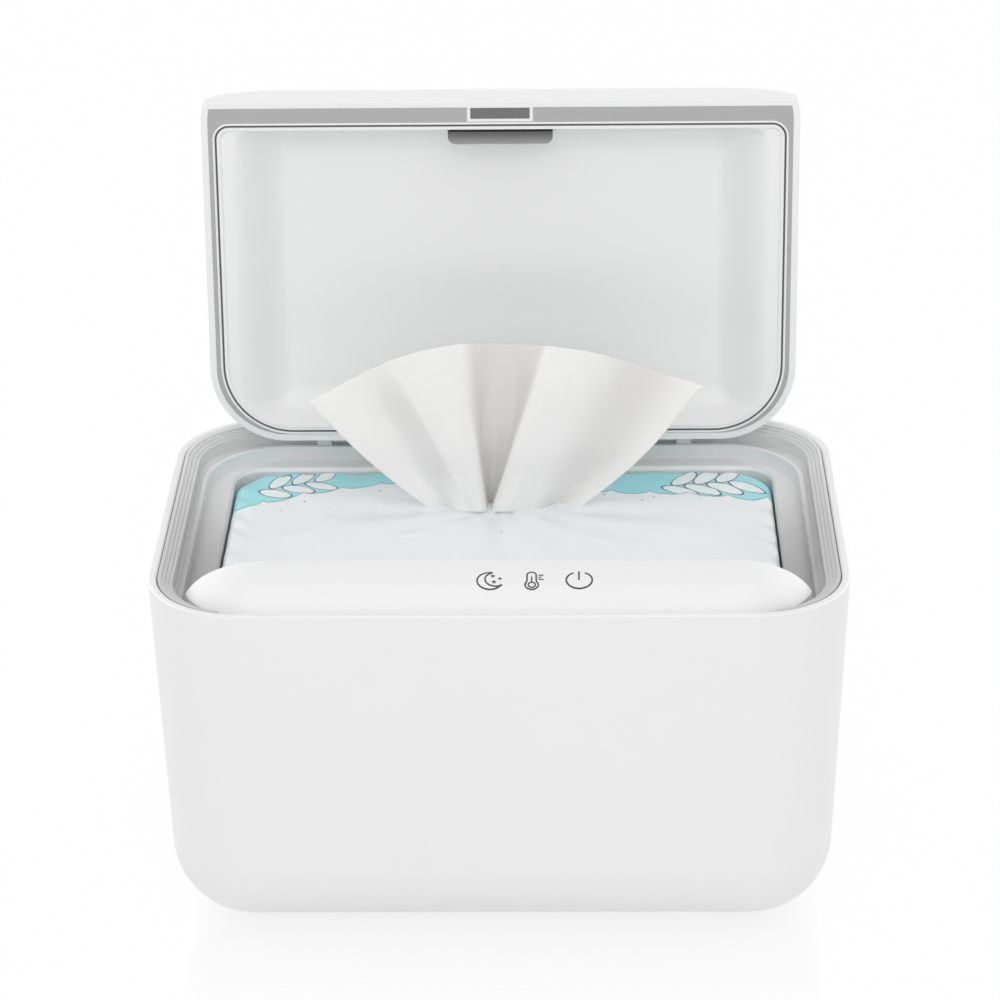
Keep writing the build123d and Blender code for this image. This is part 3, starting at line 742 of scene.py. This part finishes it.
def star(middle_x, middle_y, reach):
    """A small five-pointed star."""
    points = [(middle_x, middle_y)]
    for index in range(10):
        turn = radians(90 + 36 * index)
        out = reach if index % 2 == 0 else reach * 0.45
        points.append((middle_x + out * cos(turn), middle_y + 0.8 * out * sin(turn)))
    return points, [(0, 1 + index, 1 + (index + 1) % 10) for index in range(10)]


def printed_sign(name, shapes):
    """Flat shapes laid on the curved panel as a thin print."""
    ink_top, ink_thick = 0.03, 0.06
    above, down = 0.3, Vector((0, 0, -1))
    looks = bpy.context.evaluated_depsgraph_get()
    panel = BVHTree.FromObject(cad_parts["control_panel"], looks)
    points, faces = [], []
    for flat_points, flat_faces in shapes:
        start = len(points)
        for x, y in flat_points:
            ground = panel.ray_cast(Vector((x * mm, y * mm, above)), down)[0]
            points.append((x, y, ground.z / mm + ink_top))
        faces += [tuple(start + corner for corner in face) for face in flat_faces]
    sign = piece(name, points, faces, "sign_print")
    thick = sign.modifiers.new("ink", "SOLIDIFY")
    thick.thickness = ink_thick * mm
    thick.offset = -1.0
    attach(sign, "base")


def power_sign():
    ring = line_strip(ellipse(25.2, -67.5, 4.0, 2.93, 115, 425), 0.56)
    bar = line_strip(straight((25.1, -64.2), (25.1, -67.5)), 0.54)
    printed_sign("power_sign", [ring, bar])


def moon_sign():
    outer = line_strip(ellipse(-2.3, -67.62, 4.0, 3.02, 79, 333), 0.54)
    inner = line_strip(ellipse(-0.5, -67.1, 3.35, 2.5, 108, 306), 0.52)
    stars = [star(-1.46, -65.95, 0.9), star(0.7, -66.95, 0.8), star(-1.1, -68.1, 0.9)]
    printed_sign("moon_sign", [outer, inner] + stars)


def thermometer_sign():
    cap = ellipse(10.5, -65.6, 1.4, 1.1, 180, 0, 24)
    bulb = ellipse(10.55, -69.15, 2.05, 1.53, 46, -226, 40)
    left_side = straight((9.1, -68.0), (9.1, -65.6))
    right_side = straight((11.9, -65.6), (11.95, -68.05))
    glass = line_strip(left_side + cap[1:-1] + right_side + bulb[1:], 0.5)
    drop = line_strip(ellipse(10.58, -69.15, 1.1, 0.86, 0, 360, 32), 0.46)
    column = line_strip(straight((10.55, -66.2), (10.55, -68.25)), 0.46)
    marks = [line_strip(straight((12.6, y), (right, y), 4), 0.42)
             for right, y in ((14.2, -65.73), (13.5, -66.5), (14.2, -67.27))]
    printed_sign("thermometer_sign", [glass, drop, column] + marks)


# ------------------------------------------------------------ room

def studio_world():
    """White to the eye and in reflections, and dimmer as a light."""
    world = bpy.data.worlds.new("studio")
    bpy.context.scene.world = world
    world.use_nodes = True
    room = Finish(world.node_tree, "Background")
    dim = 0.52
    plain = room.ray("Camera").most(room.ray("Glossy")).most(room.ray("Transmission"))
    room.wear(Color=grey(1.0), Strength=dim + plain * (1 - dim))


def studio_floor():
    """White sheet under the object that mirrors it faintly close to its foot."""
    sheet = finish("studio_sheet", grey(0.9), 1.0, Specular_IOR_Level=0.0)
    matt = Wire(sheet, sheet.shader.outputs[0])
    glow = sheet.add("ShaderNodeEmission", {}, {"Color": grey(1.0), "Strength": 1.0})
    mirror = sheet.add("ShaderNodeBsdfGlossy", {}, {"Color": grey(1.0), "Roughness": 0.04})
    straight_on = sheet.ray("Camera").most(sheet.ray("Glossy"))
    lit = sheet.add("ShaderNodeMixShader", {}, {0: straight_on * 0.95, 1: matt, 2: glow})
    near = sheet.axis("Y").rising(-150 * mm, -84 * mm)
    share = near * 0.14 * sheet.ray("Camera")
    surface = sheet.add("ShaderNodeMixShader", {}, {0: share, 1: lit, 2: mirror})
    sheet.feed(sheet.tree.nodes["Material Output"].inputs["Surface"], surface)

    half = 2200
    corners = [(-half, -half, 0), (half, -half, 0), (half, half, 0), (-half, half, 0)]
    floor = piece("studio_floor", corners, [(0, 1, 2, 3)], "studio_sheet")


def softbox(name, place, aim, wide, high, watts):
    """A large soft lamp that looks at a point of the object."""
    data = bpy.data.lights.new(name, "AREA")
    data.shape = "RECTANGLE"
    data.size = wide
    data.size_y = high
    data.energy = watts
    lamp = bpy.data.objects.new(name, data)
    bpy.context.collection.objects.link(lamp)
    lamp.location = place
    lamp.rotation_euler = (Vector(aim) - Vector(place)).to_track_quat("-Z", "Y").to_euler()


def studio_lamps():
    middle = (0.0, 0.0, 0.1)
    softbox("top_box", (0.0, -0.45, 1.5), middle, 1.6, 1.2, 4.4)
    softbox("left_box", (-1.5, 0.85, 0.8), middle, 2.2, 1.6, 13.0)
    softbox("right_box", (1.5, 0.85, 0.8), middle, 2.2, 1.6, 12.0)
    softbox("front_box", (0.0, -1.6, 1.15), middle, 1.6, 1.0, 9.4)
    softbox("foot_box", (0.0, -1.3, 0.08), (0.0, 0.0, 0.03), 1.6, 0.14, 1.2)


def photo_camera():
    """Long lens a little above the lid, at the photograph's angle and framing."""
    yaw, pitch, roll = -0.0211531, 0.4390749, -0.0129039
    forward = Vector((sin(yaw) * cos(pitch), cos(yaw) * cos(pitch), -sin(pitch)))
    right = Vector((cos(yaw), -sin(yaw), 0.0))
    upward = right.cross(forward)
    side = cos(roll) * right + sin(roll) * upward
    top = -sin(roll) * right + cos(roll) * upward
    data = bpy.data.cameras.new("photo_camera")
    data.sensor_width = 36.0
    data.lens = 126.0
    data.clip_start = 0.05
    data.clip_end = 20.0
    camera = bpy.data.objects.new("photo_camera", data)
    bpy.context.collection.objects.link(camera)
    place = Vector((21.52769, -1033.35544, 607.55755)) * mm
    turn = Matrix((side, top, -forward)).transposed().to_4x4()
    camera.matrix_world = Matrix.Translation(place) @ turn
    bpy.context.scene.camera = camera


bpy.context.scene.view_settings.view_transform = "Standard"
photo_camera()
studio_world()
studio_floor()
studio_lamps()
dress_the_frame()
lid_tray()
trim_tails()
seal_bed()
wipes_bag()
drawn_wipe()
power_sign()
moon_sign()
thermometer_sign()
